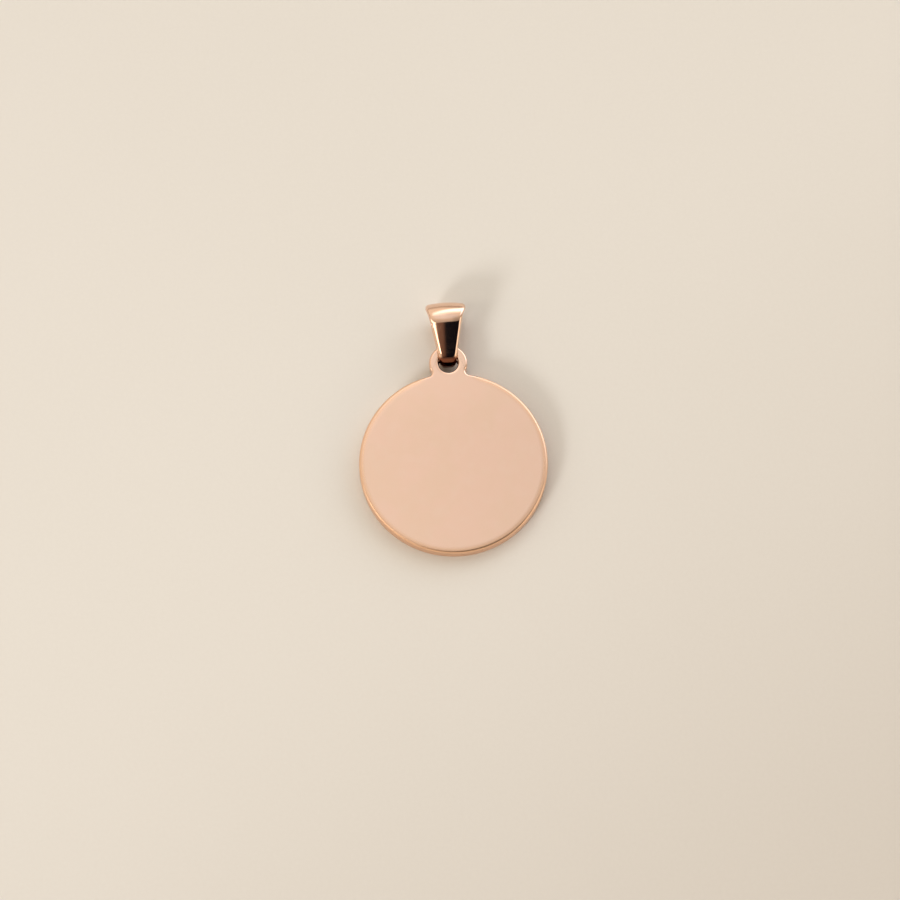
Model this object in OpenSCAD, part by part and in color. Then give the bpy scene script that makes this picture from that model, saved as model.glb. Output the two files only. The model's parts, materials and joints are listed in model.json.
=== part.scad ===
// Disc pendant: a plain round disc with a lug in one piece with it, and a bail that is one
// tapered strip bent into a closed loop through the lug's hole.
// It lies on a surface: the disc leans on its rim and on the bail, and the bail lies on its
// back leg. X is across, Y runs from the disc to the bail, Z is up. Sizes are millimetres.

/* [Disc] */
// Diameter of the disc
disc_d = 20; // [18:0.5:25]
// Thickness of the disc and of its lug
disc_t = 1.5; // [1.3:0.05:1.6]
// Radius of the rounded edges of the disc and the lug
edge_r = 0.25; // [0.2:0.05:0.35]

/* [Lug] */
// Outer diameter of the lug
lug_d = 4; // [3.8:0.05:4.1]
// Diameter of the hole through the lug
hole_d = 2.14; // [2.12:0.02:2.24]
// Radius of the rounded edges of the hole, which is punched and crisper than the outline
hole_edge_r = 0.12; // [0.1:0.02:0.2]
// Distance from the rim of the disc out to the centre of the hole
hole_reach = 1.15; // [1.1:0.05:1.3]
// Radius of the two inside corners between the lug and the disc
corner_r = 0.45; // [0.3:0.05:0.6]

/* [Bail] */
// Thickness of the strip along its middle
strip_t = 0.5; // [0.4:0.05:0.55]
// Outer diameter of the lower bend, the one through the hole
low_bend_d = 3.1; // [3.1:0.02:3.2]
// Outer diameter of the top bend, where the chain passes
top_bend_d = 4.3; // [4.1:0.02:4.6]
// Width of the strip at the lower bend
low_w = 1.5; // [1.44:0.02:1.56]
// Width of the strip over the top bend
top_w = 4.26; // [3.9:0.02:4.5]
// Width of the strip where its side edges start to flare
flare_w = 3.1; // [2.9:0.05:3.2]
// Distance from the lower bend's centre to where the flare starts
flare_y = 2.8; // [2.6:0.1:3]
// Radius of the flare
flare_r = 7; // [5.5:0.5:7.5]
// Rise of the plane that the strip's outline is drawn in. It is steeper than the bail's middle
// plane, which makes the back leg a little narrower than the front leg.
outline_rise = 20; // [14:1:22]
// Radius of the crown across the outside of the strip
crown_r = 11; // [8:1:20]
// Distance from the hole's centre out to the centre of the lower bend
bend_reach = 1.32; // [1.3:0.02:1.36]
// Width along the middle of the lower bend where its inside is left straight
seat_w = 0.7; // [0.6:0.05:0.8]
// Slope of the eased inner edges of the lower bend, measured from the straight seat
ease_angle = 22; // [18:1:26]

/* [Hidden] */
$fn = 96;

disc_r = disc_d / 2;
lug_r = lug_d / 2;
hole_r = hole_d / 2;
hole_y = disc_r + hole_reach;
pivot_y = hole_y + bend_reach;

low_r = low_bend_d / 2;
top_r = top_bend_d / 2;
// Sine and cosine of the angle at which the front leg rises over the back leg. Both are short
// numbers, so that the legs and the bends meet without a gap.
leg_sin = 0.352;
leg_cos = 0.936;
leg_rise = atan2(leg_sin, leg_cos);
bend_rise = top_r - low_r;
leg_len = bend_rise * (1 + leg_cos) / leg_sin;
// Distance from the lower bend's centre to the top bend's centre in the outline's plane
top_along = leg_len * cos(outline_rise) + bend_rise * sin(outline_rise);

// Angle at which the disc leans, with its rim on the surface and its middle plane at the
// lower bend's height where it meets the bail
lean_run = pivot_y + disc_r - edge_r;
lean_rise = low_r - edge_r;
half_core = disc_t / 2 - edge_r;
lean = asin(lean_rise / norm([lean_run, half_core])) - atan(half_core / lean_run);

// The ends of the pendant as it lies, along Y from the pivot
far_end = leg_len + top_r;
near_end = -lean_run * cos(lean) - half_core * sin(lean) - edge_r;
pivot = [0, -(far_end + near_end) / 2, low_r];

// How far cutting shapes run past the surfaces that they cut
over = 1;
// Where the strip reaches its full width, as a share of the top bend's radius past its centre
corner_share = 0.72;
// How far the straight side edge runs on inside the flare's arc
straight_lap = 0.3;
// How deep a corner web is rooted in the disc and in the lug
web_root = 0.6;
// Sides of the large and thin curves, which need finer steps
fine_fn = 360;

rose_gold = [0.91, 0.7, 0.58];

// Half section of a flat round body with rounded edges, X outward and Y through its middle
module edge_section(r) {
    translate([0, -disc_t / 2]) square([r - edge_r, disc_t]);
    translate([0, -half_core]) square([r, 2 * half_core]);
    for (side = [-1, 1]) translate([r - edge_r, side * half_core]) circle(r = edge_r);
}

// Half section of the space inside a round opening whose edges are rounded to a radius
module opening_section(r, rounding) {
    straight = disc_t / 2 - rounding;
    difference() {
        translate([0, -disc_t / 2 - over]) square([r + rounding, disc_t + 2 * over]);
        translate([r, -straight]) square([2 * rounding, 2 * straight]);
        for (side = [-1, 1]) translate([r + rounding, side * straight]) circle(r = rounding);
    }
}

module round_plate(r) {
    rotate_extrude() edge_section(r);
}

module round_opening(r, rounding) {
    rotate_extrude() opening_section(r, rounding);
}

// Web that fills one inside corner between the disc and the lug, with a rounded hollow edge.
// It reaches only into solid metal, short of the hole.
module corner_web(side) {
    from_disc = disc_r + corner_r;
    from_lug = lug_r + corner_r;
    corner_y = (from_disc * from_disc - from_lug * from_lug + hole_y * hole_y) / (2 * hole_y);
    corner = [side * sqrt(from_disc * from_disc - corner_y * corner_y), corner_y];
    lug_centre = [0, hole_y];
    in_disc = corner * (disc_r - web_root) / norm(corner);
    in_lug = lug_centre + (corner - lug_centre) * (lug_r - web_root) / from_lug;
    inner = [side * lug_r / 2, disc_r - web_root];
    difference() {
        translate([0, 0, -disc_t / 2])
            linear_extrude(disc_t) polygon([in_disc, corner, in_lug, inner]);
        translate(corner) round_opening(corner_r, edge_r);
    }
}

// The disc with its lug, flat about its middle plane and centred on the disc
module plate() {
    difference() {
        union() {
            round_plate(disc_r);
            translate([0, hole_y, 0]) round_plate(lug_r);
        }
        translate([0, hole_y, 0]) round_opening(hole_r, hole_edge_r);
    }
    for (side = [-1, 1]) corner_web(side);
}

module disc() {
    color(rose_gold)
        translate(pivot) rotate([lean, 0, 0]) translate([0, -pivot_y, 0]) plate();
}

// Section across the strip, X outward to the crowned outside at r, Y across the width
module strip_section(r) {
    intersection() {
        translate([r - strip_t, -top_w / 2]) square([strip_t, top_w]);
        translate([r - crown_r, 0]) circle(r = crown_r, $fn = fine_fn);
    }
}

// Side view of the part of a bend's ring on one side of the two legs, end is -1 or 1
module bend_side(end) {
    reach = 2 * top_r + over;
    polygon([[0, 0], reach * [-leg_sin, leg_cos], reach * [end, leg_cos], reach * [end, -1],
             [0, -reach]]);
}

// One bend of the strip in side view, about its own centre
module bend(r, end) {
    intersection() {
        rotate_extrude($fn = fine_fn) strip_section(r);
        translate([0, 0, -top_w]) linear_extrude(2 * top_w) bend_side(end);
    }
}

// One straight leg in side view, on top of the bend's centre and running along X
module leg() {
    rotate([90, 0, 90]) linear_extrude(leg_len) strip_section(low_r);
}

// The strip's closed loop in side view about the lower bend's centre, on its back leg
module loop() {
    bend(low_r, -1);
    translate([leg_len, bend_rise, 0]) bend(top_r, 1);
    mirror([0, 1, 0]) leg();
    rotate([0, 0, leg_rise]) leg();
}

// What is cut away beside the strip, with X across and Y from the lower bend's centre, side is -1
// or 1. The edge runs straight from the lower bend and then flares in an arc to the full width.
module side_cut(side) {
    slope = (flare_w - low_w) / 2 / (flare_y + low_r);
    flare_start = [flare_w / 2, flare_y];
    flare_end = [top_w / 2, top_along + top_r * corner_share];
    chord = flare_end - flare_start;
    reach = sqrt(flare_r * flare_r - chord * chord / 4);
    centre = (flare_start + flare_end) / 2 + reach * [chord[1], -chord[0]] / norm(chord);
    straight_end = flare_start + straight_lap * [slope, 1];
    straight_foot = flare_start - (flare_y + low_r + over) * [slope, 1];
    mirror([side < 0 ? 1 : 0, 0, 0]) {
        polygon([straight_foot, [centre[0], straight_foot[1]], [centre[0], straight_end[1]],
                 straight_end]);
        translate(centre) circle(r = flare_r, $fn = fine_fn);
    }
}

// The tapered strip, cut from the loop along its outline
module tapered_loop() {
    depth = 4 * (top_r + over);
    difference() {
        rotate([90, 0, 90]) loop();
        for (side = [-1, 1])
            rotate([outline_rise, 0, 0])
                translate([0, 0, -depth / 2]) linear_extrude(depth) side_cut(side);
    }
}

// Cones that ease the inner edges of the lower bend, so that they clear the lug's ring
module inner_ease() {
    low_in = low_r - strip_t;
    depth = low_w;
    for (side = [-1, 1])
        rotate([0, side * 90, 0]) translate([0, 0, seat_w / 2])
            cylinder(r1 = low_in, r2 = low_in + depth * tan(ease_angle), h = depth);
}

module bail() {
    color(rose_gold) translate(pivot)
        difference() {
            tapered_loop();
            inner_ease();
        }
}

disc();
bail();
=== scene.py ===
"""Disc pendant: a mirror polished rose gold disc with a lug, and a tapered bail through the lug.

It lies on a pale surface, with the disc leaning on its rim and the bail on its back leg.
"""
import json
import math

import bmesh
import bpy
from mathutils import Matrix, Vector


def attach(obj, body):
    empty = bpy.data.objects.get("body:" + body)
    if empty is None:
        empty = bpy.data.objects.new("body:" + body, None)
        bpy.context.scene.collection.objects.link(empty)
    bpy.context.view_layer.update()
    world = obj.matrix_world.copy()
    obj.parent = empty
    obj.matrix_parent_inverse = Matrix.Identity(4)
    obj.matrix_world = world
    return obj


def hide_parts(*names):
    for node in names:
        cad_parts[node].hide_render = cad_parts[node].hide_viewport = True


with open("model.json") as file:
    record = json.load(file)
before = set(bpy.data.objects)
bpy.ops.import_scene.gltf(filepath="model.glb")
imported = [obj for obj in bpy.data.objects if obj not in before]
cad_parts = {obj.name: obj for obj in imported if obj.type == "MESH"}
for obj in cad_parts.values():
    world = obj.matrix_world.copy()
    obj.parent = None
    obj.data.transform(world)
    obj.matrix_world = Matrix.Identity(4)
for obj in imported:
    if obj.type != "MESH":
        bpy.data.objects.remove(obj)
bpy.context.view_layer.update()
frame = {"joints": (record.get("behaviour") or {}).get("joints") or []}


# ---- Where the disc lies ------------------------------------------------------------------
# The disc and its lug are one flat plate. Its rim touches the surface and its lug is carried by
# the bail, so it leans by two degrees about the pivot where the bail passes through the hole.

mm = 0.001
pivot = Vector(frame["joints"][0]["pos_m"])
disc_r = 10 * mm
disc_t = 1.5 * mm
edge_r = 0.25 * mm
hole_y = disc_r + 1.15 * mm
pivot_y = hole_y + 1.32 * mm

half_core = disc_t / 2 - edge_r
lean_run = pivot_y + disc_r - edge_r
lean = math.asin((pivot.z - edge_r) / math.hypot(lean_run, half_core))
lean -= math.atan(half_core / lean_run)
plate_place = (Matrix.Translation(pivot) @ Matrix.Rotation(lean, 4, "X")
               @ Matrix.Translation((0, -pivot_y, 0)))


# ---- Camera -------------------------------------------------------------------------------
# It looks steeply down on the face from the disc's side, a little from the left. The numbers
# are those at which the disc, the lug, the hole and the bail fall where the photograph has them.

camera_azimuth = math.radians(-2.9)
camera_elevation = math.radians(70.5)
camera_distance = 450 * mm
focal_px = 4248.5
frame_px = 900
face_centre_px = (453.5, 462.4)

camera_data = bpy.data.cameras.new("camera")
camera_data.sensor_width = 36
camera_data.lens = camera_data.sensor_width * focal_px / frame_px
camera_data.clip_start = 0.01
camera_turn = (Matrix.Rotation(camera_azimuth, 4, "Z")
               @ Matrix.Rotation(math.pi / 2 - camera_elevation, 4, "X"))
mm_px = camera_distance / focal_px
aim_shift = Vector((frame_px / 2 - face_centre_px[0], face_centre_px[1] - frame_px / 2, 0)) * mm_px
face_centre = plate_place @ Vector((0, 0, disc_t / 2))
camera = bpy.data.objects.new("camera", camera_data)
camera.matrix_world = (Matrix.Translation(face_centre) @ camera_turn
                       @ Matrix.Translation(aim_shift + Vector((0, 0, camera_distance))))
bpy.context.scene.collection.objects.link(camera)
bpy.context.scene.camera = camera
bpy.context.scene.view_settings.view_transform = "Standard"


# ---- Surface ------------------------------------------------------------------------------
# A smooth pale cream board. Its tone drifts very slightly over a few centimetres, it has a faint
# fine grain, and painted shade in its colour darkens it towards the near right corner, where the
# light falls off.

class Wire:
    """An output of a node. Arithmetic on it adds Math nodes, so 1 - mask reads as it means."""

    def __init__(self, shader, socket):
        self.shader, self.socket = shader, socket

    def maths(self, operation, first, second):
        return self.shader.node("Math", {"operation": operation}, {0: first, 1: second})

    def __add__(self, other):
        return self.maths("ADD", self, other)

    def __sub__(self, other):
        return self.maths("SUBTRACT", self, other)

    def __mul__(self, other):
        return self.maths("MULTIPLY", self, other)

    def __rsub__(self, other):
        return self.maths("SUBTRACT", other, self)

    __radd__, __rmul__ = __add__, __mul__

    def step(self, start, end, low=0, high=1):
        """A smooth step of this value, from low at start to high at end."""
        return self.shader.node("MapRange", {"interpolation_type": "SMOOTHSTEP"},
                                {"Value": self, "From Min": start, "From Max": end,
                                 "To Min": low, "To Max": high})


class Shader:
    """The nodes of one material, or of the world."""

    def __init__(self, owner):
        owner.use_nodes = True
        self.tree = owner.node_tree
        self.tree.nodes.clear()

    def node(self, kind, settings={}, inputs={}, output=0):
        """Adds a node with its settings, gives its inputs values or wires, returns an output."""
        made = self.tree.nodes.new("ShaderNode" + kind)
        for name, value in settings.items():
            setattr(made, name, value)
        for name, value in inputs.items():
            if isinstance(value, Wire):
                self.tree.links.new(value.socket, made.inputs[name])
            else:
                made.inputs[name].default_value = value
        return Wire(self, made.outputs[output] if made.outputs else None)

    def mix(self, factor, first, second):
        """Mixes two colours."""
        return self.node("Mix", {"data_type": "RGBA"}, {0: factor, 6: first, 7: second}, 2)

    def split(self, vector):
        """The X, Y and Z of a vector."""
        parts = self.node("SeparateXYZ", {}, {0: vector}).socket.node.outputs
        return [Wire(self, part) for part in parts]

    def place(self, scale=(1, 1, 1), turn=0):
        """Object coordinates, turned about Z and then scaled."""
        coords = self.node("TexCoord", output="Object")
        turned = self.node("Mapping", {}, {"Vector": coords, "Rotation": (0, 0, turn)})
        return self.node("Mapping", {}, {"Vector": turned, "Scale": scale})

    def noise(self, place, scale, detail=2):
        """A slow random pattern, with this many waves to the metre."""
        return self.node("TexNoise", {}, {"Vector": place, "Scale": scale, "Detail": detail})


def rgb(red, green, blue):
    """A colour for a socket, from the 0 to 255 values of a picture."""
    return [((c / 255 + 0.055) / 1.055) ** 2.4 for c in (red, green, blue)] + [1]


board_side = 2.4
drift_scale = 18
grain_scale = 2500
grain_depth = 0.004 * mm
board = bmesh.new()
bmesh.ops.create_grid(board, x_segments=1, y_segments=1, size=board_side / 2)
board_mesh = bpy.data.meshes.new("board")
board.to_mesh(board_mesh)
board.free()
board_object = bpy.data.objects.new("board", board_mesh)
bpy.context.scene.collection.objects.link(board_object)

board_material = bpy.data.materials.new("cream board")
s = Shader(board_material)
drift = s.noise(s.place(), drift_scale)
board_x, board_y = s.split(s.place())[:2]
# Painted shade: the colour darkens towards the near right corner, where the light falls off.
painted_falloff = (board_x * 0.6 - board_y).step(-0.02, 0.11)
grain = s.noise(s.place(), grain_scale)
cream = s.mix(drift, rgb(227, 223, 215), rgb(231, 227, 220))
grain_and_painted_shade_cream = rgb(176, 163, 148)
s.node("OutputMaterial", {}, {"Surface": s.node("BsdfPrincipled", {}, {
    "Base Color": s.mix(grain * 0.06 + painted_falloff * 0.42, cream, grain_and_painted_shade_cream),
    "Roughness": 0.65,
    "Specular IOR Level": 0.25,
    "Normal": s.node("Bump", {}, {"Height": grain, "Distance": grain_depth}),
})})
board_mesh.materials.append(board_material)


# ---- Light --------------------------------------------------------------------------------
# A studio tent of white cloth, with a bright backdrop behind, a window on the left, a bright
# strip on the far right and a soft lamp in front on the left. It has one dark opening, overhead
# on the camera's side, which the bail's front leg reflects.

cloth_level = 0.98
glow_level = 0.06
front_level = 0.45
backdrop_level = 1.3
window_level = 2.6
far_side_level = 1.2
rim_light_level = 0.6
overhead_white = rgb(255, 252, 249)
side_warm = rgb(253, 240, 222)
front_warm = rgb(250, 224, 190)
backdrop_cool = rgb(244, 248, 255)
opening_brown = (0.17, 0.095, 0.065, 1)
opening_black = (0.006, 0.006, 0.009, 1)

world = bpy.data.worlds.new("tent")
bpy.context.scene.world = world
s = Shader(world)
# Each part of the tent is a step over the direction from the pendant, whose three numbers run
# from -1 to 1: across to the right, along away from the camera, and up.
across, along, up = s.split(s.node("TexCoord", output="Generated"))
# The cloth is dimmer over the camera's side, towards the right and low down behind.
cloth = along.step(-0.3, 0.22, 0.62, 1) * across.step(-0.06, 0.09, 0.99, 0.9)
cloth = cloth * across.step(-0.04, -0.16, 1, 0.97)
cloth = cloth * (1 - up.step(0.42, 0.1) * along.step(-0.1, 0.2) * 0.42)
cloth = cloth * (1 - across.step(0.08, 0.22) * along.step(0.42, 0) * 0.38)
# A faint glow overhead, which the face reflects at its far end, and a low light in front.
glow = along.step(0.285, 0.31) * across.step(0.08, -0.03, 0.5, 1)
front = along.step(-0.2, -0.4) * up.step(0.5, 0.3)
# The backdrop behind, whose sloped edges shape the highlight on the bail's top bend.
backdrop = along.step(0.3, 0.5) * (up + across * 1.05).step(0.41, 0.67)
backdrop = backdrop * (up + across * 0.37).step(0.95, 0.64) * across.step(-0.12, 0.04, 0.9, 1)
# A strip behind on the right, which lights the edge of the disc's rim.
rim_light = across.step(0.4, 0.6) * along.step(0.16, 0.3) * up.step(0.1, 0.25)
# The window on the left, in the directions that the left shoulder of the front leg reflects.
beside_leg = along + up * 0.376
window = across.step(-0.18, -0.27) * beside_leg.step(0.06, 0.01) * beside_leg.step(-0.15, -0.09)
window = window * up.step(0, 0.12)
# The bright strip on the far right, for the right shoulder of the front leg.
far_side = across.step(0.72, 0.84) * along.step(0.1, -0.1) * up.step(0, 0.12)
# The dark opening, brown on its left and black from its middle to its right.
opening = (along - across * 0.15).step(-0.27, -0.325) * up.step(0.5, 0.64)
opening = opening * across.step(-0.34, -0.27) * across.step(0.8, 0.68)
opening_tone = s.mix(across.step(-0.08, 0.01), opening_brown, opening_black)
level = cloth_level * cloth + glow_level * glow + front_level * front
level = level + backdrop_level * backdrop + window_level * window
level = level + far_side_level * far_side + rim_light_level * rim_light
# The light from beside and in front is warmer than that from above, and the lit cloth cooler.
from_above = across * across + (along - 0.27) * (along - 0.27)
tint = s.mix(from_above.step(0.005, 0.12), overhead_white, side_warm)
tint = s.mix(front, tint, front_warm)
tint = s.mix(backdrop + rim_light, tint, backdrop_cool)
light = s.node("VectorMath", {"operation": "SCALE"}, {0: tint, "Scale": level})
s.node("OutputWorld", {}, {"Surface": s.node("Background", {}, {
    "Color": s.mix(opening, light, opening_tone), "Strength": 1})})

# The lamp casts the soft shadows to the right. Its own reflection is left out.
key_direction = Vector((-0.587, -0.661, 0.466))
key_distance = 1.0
key = bpy.data.lights.new("key", "AREA")
key.shape = "DISK"
key.size = 0.26
key.energy = 3.8
key_object = bpy.data.objects.new("key", key)
key_object.matrix_world = (Matrix.Translation(key_direction * key_distance)
                           @ key_direction.to_track_quat("Z", "Y").to_matrix().to_4x4())
bpy.context.scene.collection.objects.link(key_object)
key_object.visible_glossy = False


# ---- Disc ---------------------------------------------------------------------------------
# One piece of stainless steel, blanked from sheet with its round lug, tumbled so that every
# edge is rounded, polished to a mirror and plated with rose gold.

lug_r = 2 * mm
hole_r = 1.07 * mm
hole_edge_r = 0.12 * mm
corner_r = 0.45 * mm
face_margin = 0.11 * mm
merge_dist = 0.001 * mm
rim_steps = 150
lug_steps = 56
hole_steps = 48
corner_steps = 14
edge_steps = 8

corner_y = ((disc_r + corner_r) ** 2 - (lug_r + corner_r) ** 2 + hole_y ** 2) / (2 * hole_y)
corner = Vector((math.sqrt((disc_r + corner_r) ** 2 - corner_y ** 2), corner_y, 0))
lug_centre = Vector((0, hole_y, 0))
rim_angle = math.atan2(corner.y, corner.x) + math.pi / 2
lug_start = math.atan2(corner.y - hole_y, corner.x)
# Known fault: this arc turns 125 degrees where 100 would reach the lug's circle. The lug comes
# out 0.05 mm too large in radius, the two halves overlap at its far end, and faces look inwards.
corner_angle = -(math.pi / 2 - rim_angle + math.pi - lug_start) % math.tau - math.tau


def turn(plate, start, centre, angle, steps):
    """Turns a point about a centre, leaves its path as edges and returns where it ends."""
    made = bmesh.ops.spin(plate, geom=[start], cent=centre, axis=(0, 0, 1), angle=angle,
                          steps=steps)
    return made["geom_last"][0]


plate = bmesh.new()
first = plate.verts.new((0, -disc_r, 0))
rim_end = turn(plate, first, (0, 0, 0), rim_angle, rim_steps)
corner_end = turn(plate, rim_end, corner, corner_angle, corner_steps)
lug_end = turn(plate, corner_end, lug_centre, math.pi / 2 - lug_start, lug_steps)
hole_start = plate.verts.new((0, hole_y + hole_r, 0))
plate.edges.new((lug_end, hole_start))
hole_end = turn(plate, hole_start, lug_centre, -math.pi, hole_steps)
plate.edges.new((hole_end, first))
half_face = bmesh.ops.edgeloop_fill(plate, edges=plate.edges[:])["faces"][0]
raised = bmesh.ops.extrude_face_region(plate, geom=[half_face])
raised = [g for g in raised["geom"] if isinstance(g, bmesh.types.BMVert)]
bmesh.ops.translate(plate, verts=raised, vec=(0, 0, disc_t))
bmesh.ops.translate(plate, verts=plate.verts, vec=(0, 0, -disc_t / 2))
cut_faces = [f for f in plate.faces if all(abs(v.co.x) < merge_dist for v in f.verts)]
bmesh.ops.delete(plate, geom=cut_faces, context="FACES_ONLY")
bmesh.ops.recalc_face_normals(plate, faces=plate.faces)
square_edge = math.radians(80)
hole_reach = (0, 1.01 * hole_r)
outline_reach = (1.3 * hole_r, 3 * disc_r)
for rounding, (nearest, farthest) in ((hole_edge_r, hole_reach), (edge_r, outline_reach)):
    sharp = [e for e in plate.edges if e.calc_face_angle(0) > square_edge
             and all(nearest < (v.co.xy - lug_centre.xy).length < farthest for v in e.verts)]
    bmesh.ops.bevel(plate, geom=sharp, offset=rounding, affect="EDGES", segments=edge_steps,
                    profile=0.5, material=-1)
for flat in sorted(plate.faces, key=lambda f: f.calc_area())[-2:]:
    bmesh.ops.inset_region(plate, faces=[flat], thickness=face_margin, use_boundary=False,
                           use_even_offset=True)
bmesh.ops.mirror(plate, geom=plate.verts[:] + plate.edges[:] + plate.faces[:],
                 axis="X", merge_dist=merge_dist)
bmesh.ops.remove_doubles(plate, verts=plate.verts, dist=merge_dist)
bmesh.ops.recalc_face_normals(plate, faces=plate.faces)
bmesh.ops.transform(plate, matrix=plate_place, verts=plate.verts)
for f in plate.faces:
    f.smooth = True
disc_mesh = bpy.data.meshes.new("blank_disc")
plate.to_mesh(disc_mesh)
plate.free()
disc = bpy.data.objects.new("blank_disc", disc_mesh)
bpy.context.scene.collection.objects.link(disc)


def rose_gold(s, waviness, shape=0, dull=0, painted_shade=0):
    """Polished rose gold plating: slow waves and hairlines from the buffing wheel, faint haze.

    shape is a height in metres, dull marks where the polish is less sharp, and the last argument
    marks where the colour is painted dark and coppery, as painted shade."""
    rose, pink_rose = (0.865, 0.595, 0.438, 1), (0.88, 0.597, 0.45, 1)
    hazy, dulled = (0.87, 0.68, 0.55, 1), (0.87, 0.565, 0.38, 1)
    # Painted shade: a dark coppery colour for the metal inside the lug's hole.
    painted_shade_colour = (0.13, 0.034, 0.016, 1)
    hair_scale = (9000, 260, 9000)
    pore_depth, hair_depth = 0.00002 * mm, 0.00006 * mm
    mottle = s.noise(s.place(), 320).step(0.35, 0.65)
    haze = s.noise(s.place(), 900, 4).step(0.45, 0.75)
    hairs = [s.noise(s.place(hair_scale, turn), 1, 1).step(0.66, 0.8)
             for turn in (0.4, 1.3, 2.5)]
    hairlines = (hairs[0] + hairs[1] + hairs[2]) * 0.33
    waves = s.noise(s.place(), 240, 1)
    pores = s.noise(s.place(), 6000, 2)
    height = waves * waviness + pores * pore_depth - hairlines * hair_depth + shape
    tone = s.mix(mottle, rose, pink_rose)
    tone = s.mix(haze * 0.1, tone, hazy)
    tone = s.mix(dull * 0.8, tone, dulled)
    s.node("OutputMaterial", {}, {"Surface": s.node("BsdfPrincipled", {}, {
        "Base Color": s.mix(painted_shade, tone, painted_shade_colour),
        "Metallic": 1,
        "Roughness": 0.07 + haze * 0.03 + hairlines * 0.08 + dull * 0.26,
        "Normal": s.node("Bump", {}, {"Height": height, "Distance": 1}),
    })})


# The buffing wheel takes the face down slightly towards the rim, where the polish is softer.
# The hole's wall has painted shade in its colour, dark and coppery.
disc_material = bpy.data.materials.new("disc rose gold")
s = Shader(disc_material)
on_plate = s.node("Mapping", {"vector_type": "TEXTURE"}, {
    "Vector": s.node("TexCoord", output="Object"),
    "Location": plate_place.translation,
    "Rotation": (lean, 0, 0)})
in_plane = s.node("VectorMath", {"operation": "MULTIPLY"}, {0: on_plate, 1: (1, 1, 0)})
from_hole = s.node("VectorMath", {"operation": "DISTANCE"}, {0: in_plane, 1: lug_centre},
                   "Value")
radius = s.node("VectorMath", {"operation": "LENGTH"}, {0: in_plane}, "Value")
plate_x, plate_y = s.split(in_plane)[:2]
beside = s.node("Math", {"operation": "ABSOLUTE"}, {0: plate_x})
neck = beside.step(3.4 * mm, 2.2 * mm) * plate_y.step(0, 2 * mm)
outward = radius.step(disc_r - 0.75 * mm, disc_r + 0.3 * mm)
at_hole = from_hole.step(hole_r + 0.35 * mm, hole_r - 0.15 * mm)
doming = radius * radius * 0.8
rose_gold(s, 0.0015 * mm,
          shape=outward * (neck - 1) * 0.055 * mm - at_hole * 0.04 * mm - doming,
          dull=radius.step(disc_r - 0.8 * mm, disc_r - 0.1 * mm) * (1 - neck),
          # The wall of the hole gets painted shade, dark and coppery, in its colour.
          painted_shade=from_hole.step(hole_r + 0.06 * mm, hole_r))
disc_mesh.materials.append(disc_material)
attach(disc, "disc")
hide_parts("disc")


# ---- Bail ---------------------------------------------------------------------------------
# A tapered strip of stainless steel, crowned on the outside with rounded shoulders, bent round
# into a closed loop through the lug's hole, welded where its ends meet, polished and plated.

strip_t = 0.5 * mm
low_w = 1.5 * mm
top_w = 4.26 * mm
flare_w = 3.1 * mm
flare_y = 2.8 * mm
flare_r = 7 * mm
corner_share = 0.72
outline_rise = math.radians(20)
crown_r = 11 * mm
shoulder_r = 0.38 * mm
inner_edge_r = 0.08 * mm
seat_w = 0.7 * mm
ease_slope = math.tan(math.radians(22))
low_r = 1.55 * mm
top_r = 2.15 * mm
leg_sin = 0.352
leg_cos = 0.936
strip_steps = 240
cross_steps = 12
shoulder_steps = 6
inner_edge_steps = 2
seam_gap = 0.002 * mm

leg_rise = math.atan2(leg_sin, leg_cos)
leg_len = (top_r - low_r) * (1 + leg_cos) / leg_sin
top_centre = Vector((leg_len, top_r - low_r))
top_sweep = math.pi + leg_rise
low_sweep = math.pi - leg_rise
strip_len = 2 * leg_len + top_r * top_sweep + low_r * low_sweep


def loop_point(along):
    """Where the strip's outside is at a length along it, and which way it faces (Y, Z)."""
    if along < leg_len:
        return Vector((along, -low_r)), Vector((0, -1))
    along -= leg_len
    if along < top_r * top_sweep:
        angle = along / top_r - math.pi / 2
        out = Vector((math.cos(angle), math.sin(angle)))
        return top_centre + top_r * out, out
    along -= top_r * top_sweep
    if along < leg_len:
        out = Vector((-math.sin(leg_rise), math.cos(leg_rise)))
        back = Vector((-math.cos(leg_rise), -math.sin(leg_rise)))
        return top_centre + top_r * out + along * back, out
    angle = (along - leg_len) / low_r + math.pi / 2 + leg_rise
    out = Vector((math.cos(angle), math.sin(angle)))
    return low_r * out, out


top_along = leg_len * math.cos(outline_rise) + (top_r - low_r) * math.sin(outline_rise)
flare_start = Vector((flare_w / 2, flare_y))
flare_end = Vector((top_w / 2, top_along + top_r * corner_share))
chord = flare_end - flare_start
reach = math.sqrt(flare_r ** 2 - chord.length_squared / 4)
flare_centre = (flare_start + flare_end) / 2 + reach * Vector((chord.y, -chord.x)) / chord.length
taper = (flare_w - low_w) / 2 / (flare_y + low_r)


def half_width(point):
    """Half the strip's width at a point of its side view: straight sides, then a flare."""
    y = point.x * math.cos(outline_rise) + point.y * math.sin(outline_rise)
    straight = low_w / 2 + taper * (y + low_r)
    if y < flare_y:
        return straight
    if y > flare_end.y:
        return top_w / 2
    return flare_centre.x - math.sqrt(flare_r ** 2 - (y - flare_centre.y) ** 2)


strip = bmesh.new()
bmesh.ops.create_cube(strip, size=1)
bmesh.ops.scale(strip, verts=strip.verts, vec=(top_w, strip_len, strip_t))
bmesh.ops.translate(strip, verts=strip.verts, vec=(0, strip_len / 2, strip_t / 2))
ends = [f for f in strip.faces if abs(f.normal.y) > 0.9]
bmesh.ops.delete(strip, geom=ends, context="FACES_ONLY")


def edges_along(axis):
    """The strip's edges that run along X (0) or along its length (1)."""
    return [e for e in strip.edges
            if abs((e.verts[0].co - e.verts[1].co)[axis]) > 0.9 * e.calc_length()]


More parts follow.
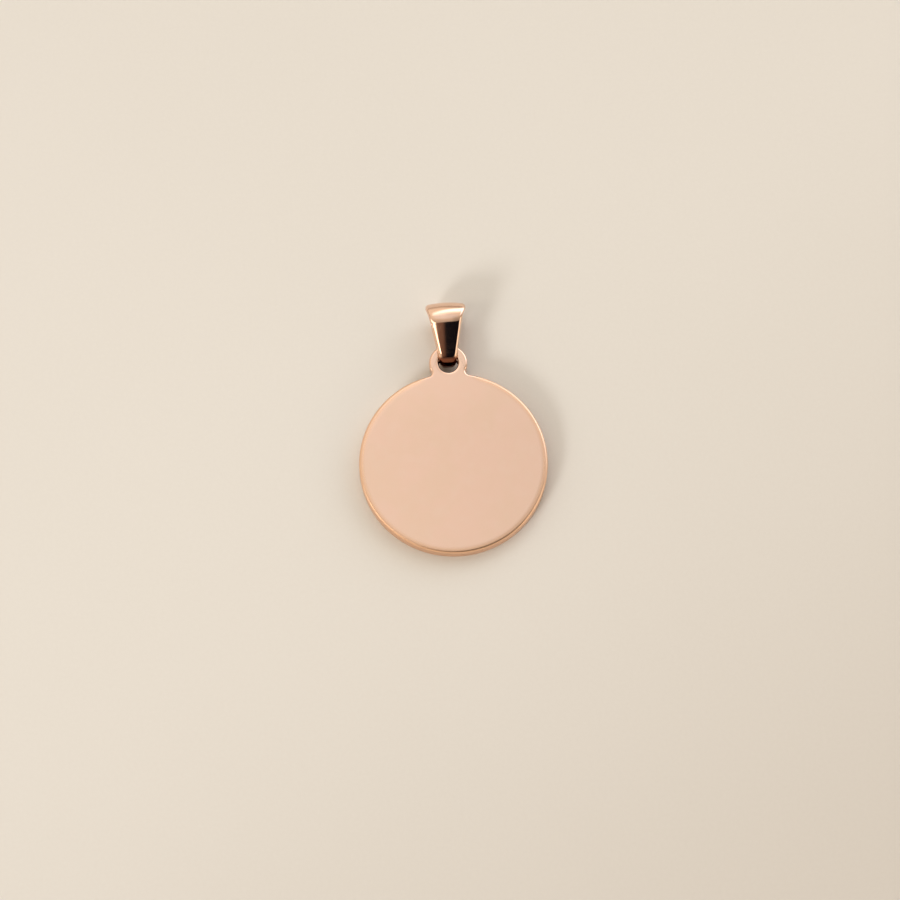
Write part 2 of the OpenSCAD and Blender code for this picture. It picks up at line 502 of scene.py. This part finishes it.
bmesh.ops.subdivide_edges(strip, edges=edges_along(1), cuts=strip_steps - 1,
                          use_grid_fill=True)
outer, inner = ([e for e in edges_along(1) if (e.verts[0].co.z > strip_t / 2) == top]
                for top in (True, False))
bmesh.ops.bevel(strip, geom=outer, offset=shoulder_r, affect="EDGES", segments=shoulder_steps,
                profile=0.5, material=-1)
inner = [e for e in inner if e.is_valid]
bmesh.ops.bevel(strip, geom=inner, offset=inner_edge_r, affect="EDGES",
                segments=inner_edge_steps, profile=0.5, material=-1)
wide = [e for e in edges_along(0) if e.calc_length() > top_w / 2]
bmesh.ops.subdivide_edges(strip, edges=wide, cuts=cross_steps - 1, use_grid_fill=True)
# The flat strip is bent round the loop, narrowed to its outline, crowned and eased.
flat_half = top_w / 2 - shoulder_r
last_point = strip_len - 1e-9
for v in strip.verts:
    x, from_start, height = v.co
    point, out = loop_point(min(from_start, last_point))
    side = math.copysign(1, x)
    inset = top_w / 2 - abs(x)
    point = point + (height - strip_t) * out
    half = half_width(point)
    if inset < shoulder_r:
        x = side * (half - inset)
    else:
        x *= (half - shoulder_r) / flat_half
    drop = crown_r - math.sqrt(crown_r ** 2 - x * x)
    point = point - out * drop * height / strip_t
    ease_r = low_r - strip_t + max(0, abs(x) - seat_w / 2) * ease_slope
    if point.length < ease_r:
        point = point.normalized() * ease_r
    v.co = pivot + Vector((x, point.x, point.y))
bmesh.ops.remove_doubles(strip, verts=strip.verts, dist=seam_gap)
bmesh.ops.recalc_face_normals(strip, faces=strip.faces)
for f in strip.faces:
    f.smooth = True
bail_mesh = bpy.data.meshes.new("bail_strip")
strip.to_mesh(bail_mesh)
strip.free()
bail = bpy.data.objects.new("bail_strip", bail_mesh)
bpy.context.scene.collection.objects.link(bail)
bail_material = bpy.data.materials.new("bail rose gold")
s = Shader(bail_material)
# The lower bend has some of the same dark coppery painted shade where it faces into the hole.
strip_y = s.split(s.place())[1]
painted_shade_in_hole = strip_y.step(pivot.y - 0.74 * mm, pivot.y - 0.98 * mm) * 0.94
rose_gold(s, 0.001 * mm, painted_shade=painted_shade_in_hole)
bail_mesh.materials.append(bail_material)
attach(bail, "bail")
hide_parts("bail")
